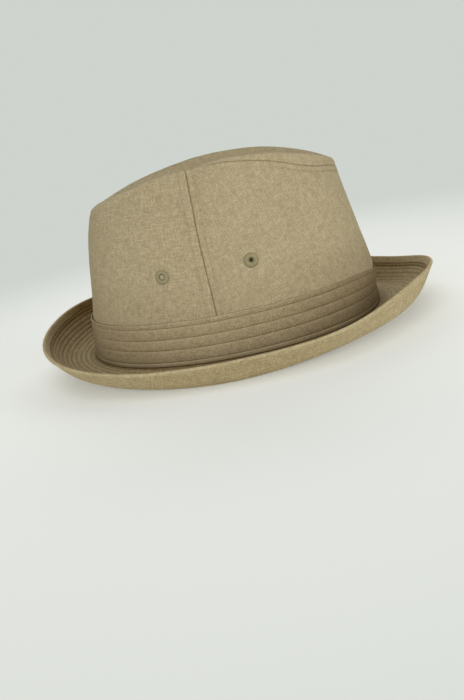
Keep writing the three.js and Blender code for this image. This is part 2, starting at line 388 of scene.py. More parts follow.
def threadMaterial(name, look):
    material, tree, shader = newMaterial(name, look["Light"])
    place = addNode(tree, "ShaderNodeTexCoord").outputs["Object"]
    fibre = addNode(tree, "ShaderNodeGroup", node_tree=threadFibre)
    tree.links.new(place, fibre.inputs["Place"])
    setInputs(fibre, look)
    wear = addNode(tree, "ShaderNodeAttribute", attribute_name="wear")
    tree.links.new(wear.outputs["Fac"], fibre.inputs["Wear"])
    bump = addBump(tree, fibre.outputs["Height"], sewing["relief"], sewing["bumpReach"])
    tree.links.new(fibre.outputs["Color"], shader.inputs["Base Color"])
    tree.links.new(bump, shader.inputs["Normal"])
    setInputs(shader, sewing["shader"])
    return material


# Crease Tint is the colour of each cloth's painted shade
linenLooks = {
    "crown_linen_cloth": {
        "Light": (0.557, 0.468, 0.286, 1), "Dark": (0.394, 0.32, 0.188, 1),
        "Crease Tint": (0.38, 0.29, 0.18, 1), "Worn": (0.61, 0.525, 0.345, 1),
    },
    # the crown's linen made darker: painted shade on the band between the crown and the brim
    "band_linen_cloth_shaded": {
        "Light": (0.495, 0.403, 0.24, 1), "Dark": (0.34, 0.263, 0.149, 1),
        "Crease Tint": (0.36, 0.3, 0.2, 1), "Worn": (0.56, 0.465, 0.295, 1),
    },
    "brim_linen_cloth": {
        "Light": (0.61, 0.503, 0.287, 1), "Dark": (0.36, 0.279, 0.146, 1),
        "Crease Tint": (0.36, 0.265, 0.135, 1), "Worn": (0.62, 0.525, 0.32, 1),
    },
}
threadLooks = {
    "seam_thread": {
        "Light": (0.46, 0.375, 0.22, 1), "Dark": (0.33, 0.265, 0.145, 1), "Worn": (0.5, 0.42, 0.26, 1),
    },
    # the seam thread made darker: painted shade on the inside of the brim
    "inside_thread_shaded": {
        "Light": (0.32, 0.25, 0.14, 1), "Dark": (0.22, 0.165, 0.085, 1), "Worn": (0.38, 0.31, 0.18, 1),
    },
    "eyelet_worked_thread": {
        "Light": (0.30, 0.265, 0.145, 1), "Dark": (0.185, 0.155, 0.08, 1), "Worn": (0.62, 0.53, 0.36, 1),
    },
}
crownLinen, shadedBandLinen, brimLinen = (linenMaterial(*look) for look in linenLooks.items())
seamThread, shadedInsideThread, eyeletThread = (threadMaterial(*look) for look in threadLooks.items())
print("materials ready")

# Crown: ovals at three heights, the ridge round the tip and the dent pressed in it
crown = {
    "wall": 1.6,
    "base": {"z": 0, "front": 104.7, "back": 104.7, "wide": 86.3, "square": 2},
    "bandTop": {"z": 26.2, "front": 102.8, "back": 101.5, "wide": 82.7, "square": 2},
    "ridge": {"z": 118.1, "front": 79.4, "back": 86.1, "wide": 65.7, "square": 2.78},
    "frontFall": {"drop": 15.9, "power": 1.7},
    "backFall": {"drop": 17.6, "power": 2.57},
    "lean": {"side": 0.25, "back": 2.1, "front": -2.4},  # how much higher the left of the ridge sits
    "seamDip": {"depth": 1.2, "spread": 9},  # the left side seam pulls the ridge down
    "swell": {"front": 4.8, "back": -0.55},  # full front wall, slightly hollow back wall
    "fold": {"mean": 5, "frontMore": 1.27, "frontSoft": 1.26, "lift": 0.33, "out": 0.15, "inward": 0.8},
    "dent": {"floor": 92, "power": 1.8},
    # how far the tip's seam lies past the foot of the fold, every 20 degrees from the back
    "tipSeam": (-3, -3.5, -5.5, -2.05, 1.6, 6, 7.2, 7.3, 7.3, 7.3),
    # soft waviness of blocked cloth
    "uneven": {"depth": 0.4, "broad": 40, "fine": 13, "fineShare": 0.35, "from": 18},
    "backDraw": {"depth": 3.4, "spread": 32, "over": 20},  # drawn in at the back under the band
    "ridgeWear": 0.5,
    "ridgeWidth": 0.3,
    "stops": (30, 20, 24),  # along the wall, the fold and the dent
    "normal": {"station": 0.01, "turn": 0.5, "lowest": -0.02, "flatFrom": 2.995},
}


def ovalPoint(oval, turn):
    across, along = headings(turn)
    bend = 2 / oval["square"] if along < 0 else 1
    half = oval["front"] if along < 0 else oval["back"]
    return Vector((oval["wide"] * signedPower(across, bend), half * signedPower(along, bend), oval["z"]))


def ridgeHeight(turn):
    across, along = headings(turn)
    fall = crown["frontFall"] if along < 0 else crown["backFall"]
    bend = 2 / crown["ridge"]["square"] if along < 0 else 1
    down = fall["drop"] * abs(along) ** (bend * fall["power"])
    lean = crown["lean"]
    tilt = lean["side"] + lean["back"] * max(along, 0) + lean["front"] * max(-along, 0)
    dip = crown["seamDip"]["depth"] * bell(turn % 360 - hat["seamTurn"], crown["seamDip"]["spread"])
    return crown["ridge"]["z"] - down + tilt * across - dip


def foldSize(turn):
    along, fold = cos(radians(turn)), crown["fold"]
    return fold["mean"] - fold["frontMore"] * along + fold["frontSoft"] * max(-along, 0) ** 2


@lru_cache(None)
def cornerPoint(turn):
    ridge, size = crown["ridge"], foldSize(turn)
    out = crown["fold"]["out"] * size
    wider = {**ridge, **{key: ridge[key] + out for key in ("front", "back", "wide")}}
    corner = ovalPoint(wider, turn)
    corner.z = ridgeHeight(turn) + crown["fold"]["lift"] * size
    return corner


def backShare(turn):
    return bell(fromBack(turn), crown["backDraw"]["spread"])


def wallPoint(turn, share):
    corner, top, draw = cornerPoint(turn), crown["bandTop"], crown["backDraw"]
    z, low = corner.z * share, top["z"]
    if z < low:
        point = ovalPoint(crown["base"], turn).lerp(ovalPoint(top, turn), z / low)
        point.y -= draw["depth"] * backShare(turn) * falling(z, low, draw["over"])
    else:
        t = (z - low) / (corner.z - low)
        across, along = headings(turn)
        swell = crown["swell"]["front" if along < 0 else "back"] * along**2 * 4 * t * t * (1 - t)
        out = Vector((across / top["wide"], along / top["back"], 0)).normalized()
        point = ovalPoint(top, turn).lerp(corner, t) + out * swell
    point.z = z
    return point


def tipPoint(turn, share):
    corner, dent = cornerPoint(turn), crown["dent"]
    z = mix(dent["floor"], corner.z, share ** dent["power"])
    return Vector((corner.x * share, corner.y * share, z))


# Profile of the crown: 0 to 1 up the wall, 1 to 2 over the ridge, 2 to 3 down into the dent
def crownPoint(turn, station):
    size, corner = foldSize(turn), cornerPoint(turn)
    wallEnd = 1 - size / corner.z
    tipEnd = 1 - crown["fold"]["inward"] * size / hypot(corner.x, corner.y)
    if station <= 1:
        return wallPoint(turn, wallEnd * station)
    if station >= 2:
        return tipPoint(turn, tipEnd * (3 - station))
    start, end, t = wallPoint(turn, wallEnd), tipPoint(turn, tipEnd), station - 1
    return start.lerp(corner, t).lerp(corner.lerp(end, t), t)


def crownNormal(turn, station):
    step = crown["normal"]
    if station > step["flatFrom"]:
        return Vector((0, 0, 1))
    above = crownPoint(turn, station + step["station"])
    below = crownPoint(turn, max(station - step["station"], step["lowest"]))
    across = crownPoint(turn + step["turn"], station) - crownPoint(turn - step["turn"], station)
    return (above - below).cross(across).normalized()


# The ridge is rubbed a little lighter
def ridgeWear(station):
    return crown["ridgeWear"] * bell(station - 1.5, crown["ridgeWidth"])


# Lengths along the profile, so that rows can be set in millimetres
@lru_cache(None)
def profileLengths(turn):
    stations = [0.0]
    for part, count in enumerate(crown["stops"]):
        stations += [part + k / count for k in range(1, count + 1)]
    return stations, runLengths([crownPoint(turn, station) for station in stations])


def stationAt(turn, length):
    stations, lengths = profileLengths(turn)
    k = min(max(bisect_left(lengths, length), 1), len(lengths) - 1)
    return mix(stations[k - 1], stations[k], (length - lengths[k - 1]) / (lengths[k] - lengths[k - 1]))


@lru_cache(None)
def seamLength(turn):
    last = len(crown["tipSeam"]) - 1
    place = fromBack(turn) / 180 * last
    row = floor(place)
    past = [crown["tipSeam"][last - abs(last - abs(row + k))] for k in (-1, 0, 1, 2)]
    stations, lengths = profileLengths(turn)
    return lengths[stations.index(1)] + catmull(*past, place - row)


def uneven(point):
    wavy = crown["uneven"]
    wave = noise.noise(point / wavy["broad"]) + wavy["fineShare"] * noise.noise(point / wavy["fine"])
    return wavy["depth"] * wave * rising(point.z, wavy["from"], wavy["from"])


# Eyelets: two on each side, worked in thread
eyelet = {
    "middle": 92.6,
    "turn": 16.6,
    "frontShift": -0.45,  # degrees, of the left front one
    "height": 55.8,
    "radius": 4.6,
    "holes": {"left_front": 0.16, "left_rear": 1.25, "right_rear": 1.1, "right_front": 0.9},
    "drawnIn": 0.5,  # a smaller hole than this is drawn together
    "proud": 0.75,
    "foot": -2.0,
    # radius and height: a knob of thread in the middle, with a groove round it
    "knob": [
        (0.16, -0.1), (0.5, 0.66), (0.95, 0.7), (1.4, 0.2),
        (1.75, -0.6), (2.1, 0.1), (2.5, 0.68), (2.9, 0.75),
    ],
    # past the edge of an open hole and height
    "lip": [(-0.05, -0.9), (0.02, -0.1), (0.28, 0.42), (0.75, 0.68), (1.4, 0.75)],
    # inside the radius and height
    "rim": [(1.1, 0.675), (0.45, 0.45), (0.1, 0.15), (0, -0.3), (0.2, -2.0)],
    "threads": 44,
    "threadSteps": 5,
    "thread": 0.12,  # how far each thread stands up
    "threadPower": 0.7,
    "raisedFrom": (-1.2, 1.0),
    "swirl": 0.12,
    "tiltOut": (3, 2),
    "tiltIn": (2.4, 1),
    "rough": 0.1,
    "roughAround": 4,
    "knobPaler": 0.5,
    "knobEdge": (1.5, 0.5),
    "topWear": 0.12,
    "fineReach": 8.5,  # the cloth is cut finer this near, and open under the ring
    "fineCuts": 3,
    "openReach": 3.4,
}
eyeletTurns = {
    "left_front": eyelet["middle"] + eyelet["turn"] + eyelet["frontShift"],
    "left_rear": eyelet["middle"] - eyelet["turn"],
    "right_rear": -eyelet["middle"] + eyelet["turn"],
    "right_front": 360 - eyelet["middle"] - eyelet["turn"],
}


def eyeletMiddle(turn):
    corner = cornerPoint(turn)
    station = eyelet["height"] / corner.z / (1 - foldSize(turn) / corner.z)
    point, normal = crownPoint(turn, station), crownNormal(turn, station)
    return point + normal * uneven(point), normal


# Crown panels: seams, pressed allowances and the rows beside them, in millimetres
panel = {
    "front": (hat["seamTurn"], 360 - hat["seamTurn"]),
    "back": (-hat["seamTurn"], hat["seamTurn"]),
    "seamEase": 0.002,  # degrees
    "seamLean": 0.8,  # degrees that the side seams lean toward the back at the top
    "leanOver": 0.45,
    "seamWidth": 0.42,
    "seamShade": 0.5,
    "rowWidth": 0.55,
    "deepest": 0.45,
    "allowance": 0.2,  # height of the turned-in cloth, and where it ends past the row
    "allowanceEnd": 1.2,
    "allowanceSoft": 1.5,
    "tipRow": {"sunk": 0.8, "from": 45, "over": 25},
    "seams": {  # depth and painted shade of a seam, and of the topstitch row beside it
        "back": {"depth": 0.45, "shade": 0.35, "rowAway": 4.2, "rowDepth": 0.16, "rowShade": 0.2},
        "front": {"depth": 0.45, "shade": 0.35, "rowAway": 5.3, "rowDepth": 0.16, "rowShade": 0.2},
        "tip": {"depth": 0.3, "shade": 0.3, "rowAway": 3.8, "rowDepth": 0.22, "rowShade": 0.3},
        "overTip": {"depth": 0.3, "shade": 0.3, "rowAway": 40, "rowDepth": 0, "rowShade": 0},
    },
    "paintedShade": 0.12,  # painted shade just above the band, more so round the back
    "paintedShadeFade": (58, 30),
    "backShade": 0.15,
    "backFade": (78, 40),
    "foot": 0.3,
    "pull": {"depth": 0.3, "width": 2.2},  # of an eyelet on the cloth round it
    "height": 110,  # nominal, for spacing the rows
    "turnStops": (0.23, 4, 1.6),  # fine, reach and coarse
    "heightStops": (0.42, 7, 2.4),
    "bearing": 1.22,  # length of the crown over its width
    "coneLean": 0.176,
    "coneRadius": 95.5,
}


# Lift, groove and painted shade of a seam and of the row beside it
def seamRelief(distance, kind, rowShare=1):
    seam = panel["seams"][kind]
    end = seam["rowAway"] + panel["allowanceEnd"]
    lift = panel["allowance"] * falling(distance, end, panel["allowanceSoft"])
    row = rowShare * bell(distance - seam["rowAway"], panel["rowWidth"])
    groove = seam["depth"] * bell(distance, panel["seamWidth"]) + seam["rowDepth"] * row
    return lift, groove, seam["shade"] * bell(distance, panel["seamShade"]) + seam["rowShade"] * row


# The row below the tip's seam shows round the back and sinks into the cloth at the sides
def tipRowShare(turn):
    row = panel["tipRow"]
    return 1 - row["sunk"] * rising(fromBack(turn), row["from"], row["over"])


# The side seams and the cloth beside them lean toward the back near the top
def leanedTurn(turn, share):
    return turn - panel["seamLean"] * sin(radians(turn)) * smooth(1 - share / panel["leanOver"])


def panelPoint(side, turn, share):
    edges = panel[side]
    near = edges[0] if abs(turn - edges[0]) < abs(turn - edges[1]) else edges[1]
    turn, near = leanedTurn(turn, share), leanedTurn(near, share)
    station = stationAt(turn, max(seamLength(turn) * (1 - share), panel["foot"]))
    point, normal = crownPoint(turn, station), crownNormal(turn, station)
    sideLift, sideGroove, sideCrease = seamRelief((crownPoint(near, station) - point).length, side)
    headLift, headGroove, headCrease = seamRelief(share * seamLength(turn), "tip", tipRowShare(turn))
    pull = 0.0
    for middle, _ in panelHoles:
        past = max((point - middle).length - eyelet["radius"], 0)
        pull += panel["pull"]["depth"] * bell(past, panel["pull"]["width"])
    lift = max(sideLift, headLift) - min(sideGroove + headGroove, panel["deepest"])
    # Painted shade: seams and rows, the lower crown toward the band, and more round the back
    paintedShade = panel["paintedShade"] + panel["backShade"] * falling(fromBack(turn), *panel["backFade"])
    crease = max(sideCrease, headCrease) + paintedShade * falling(point.z, *panel["paintedShadeFade"])
    wear = ridgeWear(station) if station > 1 else 0.0
    return point + normal * (uneven(point) + lift - pull), min(crease, 1), wear


# Flat pattern of a panel: the wall unrolled like a cone, straight grain at its middle
def panelCloth(side, turn, share):
    edges, lean = panel[side], panel["coneLean"]
    length = seamLength(turn) * (1 - share)
    point = crownPoint(turn, stationAt(turn, length))
    bearing = degrees(atan2(point.x * panel["bearing"], point.y))
    middle = (edges[0] + edges[1]) / 2
    swing = radians((bearing - middle + 180) % 360 - 180) * lean
    apex = panel["coneRadius"] / lean - length
    return apex * sin(swing), -apex * cos(swing)


panelHoles = [eyeletMiddle(turn) for turn in eyeletTurns.values()]


# Faces round each eyelet are cut finer and the hole is opened under its ring
def openHoles(mesh):
    for middle, _ in panelHoles:
        spot = placed(middle)

        def facesWithin(reach):
            return [f for f in mesh.faces if (f.calc_center_median() - spot).length < reach * mm]

        near = facesWithin(eyelet["fineReach"])
        if near:
            edges = list({edge for face in near for edge in face.edges})
            bmesh.ops.subdivide_edges(mesh, edges=edges, cuts=eyelet["fineCuts"], use_grid_fill=True)
            bmesh.ops.delete(mesh, geom=facesWithin(eyelet["openReach"]), context="FACES")


def makePanel(side):
    start, end, ease = *panel[side], panel["seamEase"]
    turns = easedStops(end - start - 2 * ease, *panel["turnStops"], True)
    turns = [start + ease + stop for stop in turns]
    shares = [stop / panel["height"] for stop in easedStops(panel["height"], *panel["heightStops"])]
    mesh = layCloth(
        turns, shares, lambda u, v: panelPoint(side, u, v), lambda u, v: panelCloth(side, u, v)
    )
    openHoles(mesh)
    return makePiece(side + "_panel", mesh, crownLinen, ["crown_" + side], crown["wall"])


makePanel("front")
makePanel("back")

# Tip: from the seam over the ridge and down into the dent
tip = {
    "columns": 240,
    "seamRows": 30,
    "seamReach": 9,
    "dentRows": 36,
    "allowanceFade": (3, 3),
    "calm": (2.9, 0.3),  # no waves at the very middle
}


def tipReach(turn):
    return profileLengths(turn)[1][-1] - seamLength(turn)


def tipLength(turn, row):
    reach = tipReach(turn)
    if row <= 1:
        return tip["seamReach"] * row
    return mix(tip["seamReach"], reach, row - 1)


def tipSpot(turn, row):
    away = tipLength(turn, row)
    station = stationAt(turn, seamLength(turn) + away)
    point, normal = crownPoint(turn, station), crownNormal(turn, station)
    _, groove, crease = seamRelief(away, "overTip")
    lift = panel["allowance"] * (1 - rising(away, *tip["allowanceFade"])) - groove
    wave = uneven(point) * falling(station, *tip["calm"])
    return point + normal * (wave + lift), crease, ridgeWear(station)


def tipCloth(turn, row):
    away = tipReach(turn) - tipLength(turn, row)
    corner = cornerPoint(turn)
    out = Vector((corner.x, corner.y)).normalized() * away
    return out.x, out.y


tipRows = [k / tip["seamRows"] for k in range(tip["seamRows"])]
tipRows += [1 + k / tip["dentRows"] for k in range(tip["dentRows"] + 1)]
tipMesh = layCloth(roundTurns(tip["columns"]), tipRows, tipSpot, tipCloth)
makePiece("dented_tip", tipMesh, crownLinen, ["crown_tip"], crown["wall"])

# Band of laid pleats that open upward, in millimetres up the crown and out from it
band = {
    "foot": -0.85,
    "inner": 0.3,
    "columns": 264,
    "folds": [  # lower and upper edge, how far each stands out
        (-0.85, 1.9, 2.25, 2.45),  # foot edge
        (1.9, 9.85, 1.7, 2.4),
        (9.85, 16.6, 1.6, 2.25),
        (16.6, 23.9, 1.5, 2.1),
        (23.9, 26.9, 1.4, 1.85),  # top edge
    ],
    "tuckOut": 0.95,
    # tuckShade: painted shade in the tucks and under the folds
    "tuckShade": 0.65,
    "footSpots": [(1, 0.3, 0.9), (0.25, 0.9, 0.95), (-0.1, 1.6, 0.7), (0.1, 2.15, 0.3)],  # up, out, painted shade in the crease
    "tuckSpots": [(0.7, 0.25), (1.0, 0), (0.5, 0.3)],  # below a lower edge, past tuckOut
    "startSpot": (0.15, 0.75),  # above a lower edge, painted shade in the crease
    "faceSpots": [  # share of the height, above that, share of the way out, painted shade
        (0.12, 0.35, 0.3, 0.2), (0.35, 0, 0.62, 0.1), (0.65, 0, 0.9, 0),
    ],
    "edgeSpots": [  # below an upper edge, inside it, painted shade, wear
        (0.75, 0, 0, 0.3), (0.2, 0.16, 0, 0.55), (0, 0.55, 0.2, 0.3), (0.2, 0.95, 0.7, 0),
    ],
    "topSpots": [(0.1, 0.75, 0.7), (0.6, 0.3, 1.0)],  # below the top, out, painted shade
    "open": {"front": 0.1, "frontFade": (160, 50), "back": 0.45, "backFade": (15, 50)},
    "pleatFoot": (1.2, 1.5),
    "pleatTop": (26.2, 1.5),
    "pressed": (2.3, 1.75, 27),  # out at the foot and at this height, where pressed flat
    "outside": (0.9, 0.3),
    "wave": {"around": 2.2, "up": 6, "rise": 0.3, "out": 0.12},
    "waveOut": (0.6, 0.6),
    "waveFoot": 3,
    "waveTop": (26.5, 2),
    "sag": {"depth": 0.4, "turn": 95, "spread": 32},  # the pleats hang lowest beside the left seam
    "paintedShade": 0.06,  # painted shade toward the foot, round the back and a little at the front
    "paintedShadeFade": (20, 26),
    "backShade": 0.64,
    "backFade": (100, 92),
    "frontShade": 0.28,
    "frontFade": (105, 45),
    "footWear": 0.35,
    "wearFade": (9, 8),
    "backDip": {"share": 0.2, "spread": 21},  # lower at the back
    "backPress": 0.35,  # and flatter
    "radius": 95,  # for the grain of its cloth
    "innerRun": 24,
}


# Section of the band as (height, out, painted shade, wear), from the inner foot up the outside to the inner
# top
def bandSection():
    shade = band["tuckShade"]
    spots = [(band["foot"] + up, out, crease, 0) for up, out, crease in band["footSpots"]]
    for number, (lower, upper, outLower, outUpper) in enumerate(band["folds"]):
        if number:
            spots += [(lower - down, band["tuckOut"] + out, shade, 0) for down, out in band["tuckSpots"]]
            up, crease = band["startSpot"]
            spots.append((lower + up, outLower, crease * shade, 0))
        for share, up, outShare, crease in band["faceSpots"]:
            height = lower + share * (upper - lower) + up
            spots.append((height, mix(outLower, outUpper, outShare), crease * shade, 0))
        last = number == len(band["folds"]) - 1  # nothing to tuck under
        for down, inward, crease, wear in band["edgeSpots"][:-1] if last else band["edgeSpots"]:
            spots.append((upper - down, outUpper - inward, crease * shade, wear))
    return spots + [(upper - down, out, crease, 0) for down, out, crease in band["topSpots"]]


# A smooth line through the spots, three steps to each
def easedLine(spots, steps=3):
    line = []
    for k in range(len(spots) - 1):
        around = [Vector(spots[min(max(j, 0), len(spots) - 1)]) for j in range(k - 1, k + 3)]
        line += [catmull(*around, j / steps) for j in range(steps)]
    return line + [Vector(spots[-1])]


bandLine = easedLine(bandSection())
bandRun = runLengths([spot.xy for spot in bandLine])


# How far the pleats stand open: pressed flat round the front, half flat at the back
def pleatOpen(turn):
    share, away = band["open"], fromBack(turn)
    front = mix(share["front"], 1, falling(away, *share["frontFade"]))
    return front * mix(share["back"], 1, rising(away, *share["backFade"]))


def bandPoint(turn, index):
    height, out, crease, wear = bandLine[index % len(bandLine)]
    corner, away = cornerPoint(turn), fromBack(turn)
    wavy, sag, dip = band["wave"], band["sag"], band["backDip"]
    body = smooth(height / band["waveFoot"]) * falling(height, *band["waveTop"])
    body *= rising(out, *band["waveOut"])
    wave = roundNoise(turn, wavy["around"], height / wavy["up"]) * body
    pleated = rising(height, *band["pleatFoot"]) * falling(height, *band["pleatTop"])
    spread = pleatOpen(turn)
    low, high, tall = band["pressed"]
    out = mix(out, mix(low, high, height / tall), (1 - spread) * pleated * rising(out, *band["outside"]))
    out = mix(out, band["inner"], band["backPress"] * backShare(turn))
    drop = sag["depth"] * bell(turn - sag["turn"], sag["spread"]) * body
    drop += height * dip["share"] * bell(away, dip["spread"])
    station = (height + wavy["rise"] * wave - drop) / corner.z / (1 - foldSize(turn) / corner.z)
    place = crownPoint(turn, station) + crownNormal(turn, station) * (out + wavy["out"] * wave)
    # Painted shade toward the foot, round the back and at the front, added to the painted shade in the
    # tucks
    paintedShade = band["paintedShade"] * falling(height, *band["paintedShadeFade"])
    paintedShade += band["backShade"] * falling(away, *band["backFade"])
    paintedShade += band["frontShade"] * rising(away, *band["frontFade"])
    wear = max(wear, 0) + band["footWear"] * falling(height, *band["wearFade"])
    return place, min(max(crease, 0) * mix(1, spread, pleated) + paintedShade, 1), wear


def bandCloth(turn, index):
    run = bandRun[index] if index < len(bandRun) else bandRun[-1] + band["innerRun"]
    return radians(turn) * band["radius"], run


bandStops = list(range(len(bandLine) + 1))
bandMesh = layCloth(roundTurns(band["columns"]), bandStops, bandPoint, bandCloth)
makePiece("pleated_band", bandMesh, shadedBandLinen, ["hat_band"])

# Brim: slopes beside the band and at the rim, stitched round in even rows
brim = {
    "width": 43.3,
    "wall": 2.2,
    "long": 107,
    "wide": 88.6,
    "tuck": 3.9,
    "seat": 1.1,  # the cloth is drawn down beside the band
    "seatReach": 14,
    "curlFrom": 0.2,
    "curlOver": 0.6,
    "slopes": [  # inner and outer slope every 30 degrees, from the back over the left side
        (-0.5, 57.5), (-4.8, 68), (-13.2, 48), (-28, 56.8), (-20, 49.6), (-4.5, 51.6),
        (6.2, 72.8), (19, 62.5), (-1.5, 59), (-27.6, 56.4), (-18, 56), (-19, 55),
    ],
    "inside": [  # at the same places: painted shade on the inside, more of it along the rim, strength of the rows
        (0.22, -0.05, 0.5), (0.28, 0, 0.8), (0.3, 0, 1), (0.3, 0, 1),
        (0.3, -0.03, 1), (0.26, -0.12, 1), (0.44, 0.04, 1), (0.72, 0.46, 1),
        (0.7, 0.4, 1), (0.55, 0.25, 1), (0.4, 0.15, 0.8), (0.26, 0.02, 0.45),
    ],
    "rimRows": (5.55, 7.8),  # a pair of rows, from the rim
    "rimShade": 0.28,  # painted shade between the two
    "rimStrength": 1.7,
    "rimOver": 3,
    "rimFade": (0.6, 1.6),
    "pairFade": (0.5, 0.8),
    "firstRow": 10.4,
    "rowStep": 3.57,
    "rowCount": 9,
    "rowDepth": 0.42,
    "rowWidth": 0.55,
    "rowShade": 0.42,
    "shadeWidth": 0.6,
    "puff": 0.28,
    "puffFade": (1, 1.5),
    "puffFoot": 3,
    # painted shade on the inside grows from this reach over this length
    "shadedFade": (2, 30),
    # underside: puff, row grooves with their painted shade, and painted shade toward the left side
    "under": {"puff": 0.4, "rowDepth": 0.3, "rowShade": 0.08, "shaded": 0.16, "shadedPower": 6},
    "underLight": {"share": 0.3, "turn": 40, "spread": 24},  # painted light on the underside below the back corners
    "footShaded": {"share": 0.75, "backLess": 0.5, "width": 2.6},  # painted shadow along the foot of the band
    "wave": {"depth": 0.3, "around": 3, "place": 5, "over": 10},
    "rim": {"round": 0.85, "wear": 0.6, "edgeWear": 0.35, "edgeWidth": 1.2},
    "rimAngles": (67, 45, 22, 0, -22, -45, -67),
    "tuckStops": (-2, -0.8),
    "profileStops": 60,
    "columns": 264,
    "step": 0.45,
}
brimRowReach = [brim["width"] - away for away in brim["rimRows"]]
brimRowReach += [brim["width"] - brim["firstRow"] - brim["rowStep"] * k for k in range(brim["rowCount"])]


# Values of a table of the brim at one angle, eased between its places
@lru_cache(None)
def roundBrim(table, turn):
    count = len(brim[table])
    place = turn % 360 / 360 * count
    row = floor(place)
    return tuple(catmull(*(Vector(brim[table][(row + k) % count]) for k in (-1, 0, 1, 2)), place - row))


# Middle layer of the brim at one angle: run, rise and slope at every millimetre or so
@lru_cache(None)
def brimProfile(turn):
    inner, outer = (radians(slope) for slope in roundBrim("slopes", turn))
    count = brim["profileStops"]
    step = brim["width"] / count
    curl = [rising(k / (2 * count), brim["curlFrom"], brim["curlOver"]) for k in range(2 * count + 1)]
    slopes = [mix(inner, outer, share) for share in curl]
    runs, rises = [0.0], [-brim["wall"] / 2]
    for k in range(count):
        runs.append(runs[-1] + cos(slopes[2 * k + 1]) * step)
        rises.append(rises[-1] + sin(slopes[2 * k + 1]) * step)
    return runs, rises, slopes[::2]


def brimMiddle(turn, reach):
    if reach < 0:
        return reach * (1 + backShare(turn)), -brim["wall"] / 2 - brim["seat"], 0.0
    columns = brimProfile(turn)
    place = reach / brim["width"] * (len(columns[0]) - 1)
    k = min(int(place), len(columns[0]) - 2)
    run, rise, slope = (mix(column[k], column[k + 1], place - k) for column in columns)
    return run, rise - brim["seat"] * (1 - smooth(reach / brim["seatReach"])), slope


# Point off the middle layer, forward along the cloth and up from it
def brimPoint(turn, reach, forward, up):
    run, rise, slope = brimMiddle(turn, reach)
    run += forward * cos(slope) - up * sin(slope)
    rise += forward * sin(slope) + up * cos(slope)
    across, along = headings(turn)
    out = Vector((across / brim["wide"], along / brim["long"])).normalized()
    normal = Vector((-out.x * sin(slope), -out.y * sin(slope), cos(slope)))
    x, y = brim["wide"] * across + out.x * run, brim["long"] * along + out.y * run
    return Vector((x, y, max(rise, -hat["bandFoot"]))), normal


# Lift and painted shade of the brim at one reach: puffs between rows, grooves and painted shade at the
# rows, painted shade over the inside, along the rim and under the band's foot
def rowRelief(turn, reach, side):
    rows, under, foot = brimRowReach, brim["under"], brim["footShaded"]
    away = min(abs(reach - row) for row in rows)
    row, shade = bell(away, brim["rowWidth"]), bell(away, brim["shadeWidth"])
    past, over = brim["puffFade"]
    sewn = falling(reach, rows[0] + past, over) * smooth(reach / brim["puffFoot"])
    puff = brim["puff"] * sewn * sin(min(away / brim["rowStep"], 0.5) * pi)
    across, along = headings(turn)
    if side < 0:
        paintedShade = under["shaded"] * max(across, 0) ** under["shadedPower"]
        lift = under["puff"] * puff - under["rowDepth"] * brim["rowDepth"] * row
        return lift, paintedShade + under["rowShade"] * shade
    shaded, rimShaded, strength = roundBrim("inside", turn)
    nearRim = rising(reach, rows[2], brim["rimOver"])
    past, over = brim["rimFade"]
    held = falling(reach, brim["width"] + past, over)
    past, over = brim["pairFade"]
    between = rising(reach, rows[1] - past, over) * falling(reach, rows[0] + past, over)
    strength = mix(strength, brim["rimStrength"], nearRim)
    paintedShade = (shaded * rising(reach, *brim["shadedFade"]) + rimShaded * nearRim) * held + brim["rimShade"] * between
    paintedShade += foot["share"] * (1 - foot["backLess"] * max(along, 0) ** 2) * bell(max(reach, 0), foot["width"])
    crease = max(paintedShade, 0) + brim["rowShade"] * strength * shade
    return puff - strength * brim["rowDepth"] * row, min(crease, 1)


# Hand-shaped unevenness of the brim
def brimWave(turn, reach):
    wavy = brim["wave"]
    return wavy["depth"] * roundNoise(turn, wavy["around"], wavy["place"]) * smooth(reach / wavy["over"])


def brimSpot(turn, stop):
    kind, value = stop
    rim, under = brim["rim"], brim["underLight"]
    if kind == "rim":
        up = brim["wall"] / 2 * sin(value) + brimWave(turn, brim["width"])
        point, _ = brimPoint(turn, brim["width"], rim["round"] * cos(value), up)
        return point, 0.0, rim["wear"] * cos(value) ** 2
    side = 1 if kind == "top" else -1
    lift, crease = rowRelief(turn, value, side)
    point, _ = brimPoint(turn, value, 0, side * (brim["wall"] / 2 + lift) + brimWave(turn, value))
    wear = rim["edgeWear"] * bell(brim["width"] - value, rim["edgeWidth"])
    # Painted light: the underside is made lighter below the back corners, through the wear attribute
    if side < 0:
        wear += under["share"] * bell(fromBack(turn) - under["turn"], under["spread"])
    return point, crease, wear


def brimCloth(turn, stop):
    kind, value = stop
    reach = brim["width"] + brim["wall"] / 2 * (pi / 2 - abs(value)) if kind == "rim" else value
    return (brim["wide"] + reach) * sin(radians(turn)), (brim["long"] + reach) * cos(radians(turn))


brimSteps = round(brim["width"] / brim["step"])
reaches = [-brim["tuck"], *brim["tuckStops"]]
reaches += [brim["width"] * k / brimSteps for k in range(brimSteps + 1)]
brimStops = [("top", reach) for reach in reaches]
brimStops += [("rim", radians(angle)) for angle in brim["rimAngles"]]
brimStops += [("under", reach) for reach in reversed(reaches)]
brimStops.append(brimStops[0])
brimMesh = layCloth(roundTurns(brim["columns"]), brimStops, brimSpot, brimCloth)
makePiece("stitched_brim", brimMesh, brimLinen, ["brim"])

# Stitches: one running thread to a row, up over the cloth for each stitch and down between two
stitch = {
    "pitch": 3.2,
    "thick": 0.2,
    "marks": (0.0, 0.14, 0.38, 0.62, 0.86),  # shares of a stitch and the thread's height there
    "heights": (-0.5, 0.0, 0.13, 0.13, 0.0),
    "sides": 5,
    "turns": 720,
    "clear": {1: 0.75, -1: 0.34},  # of the floor, above and below the brim
    "laid": 0.85,  # share of a seam's allowance that a row lies on
    "seamShares": (0.76, 0.013),
    "seamStops": 120,
}


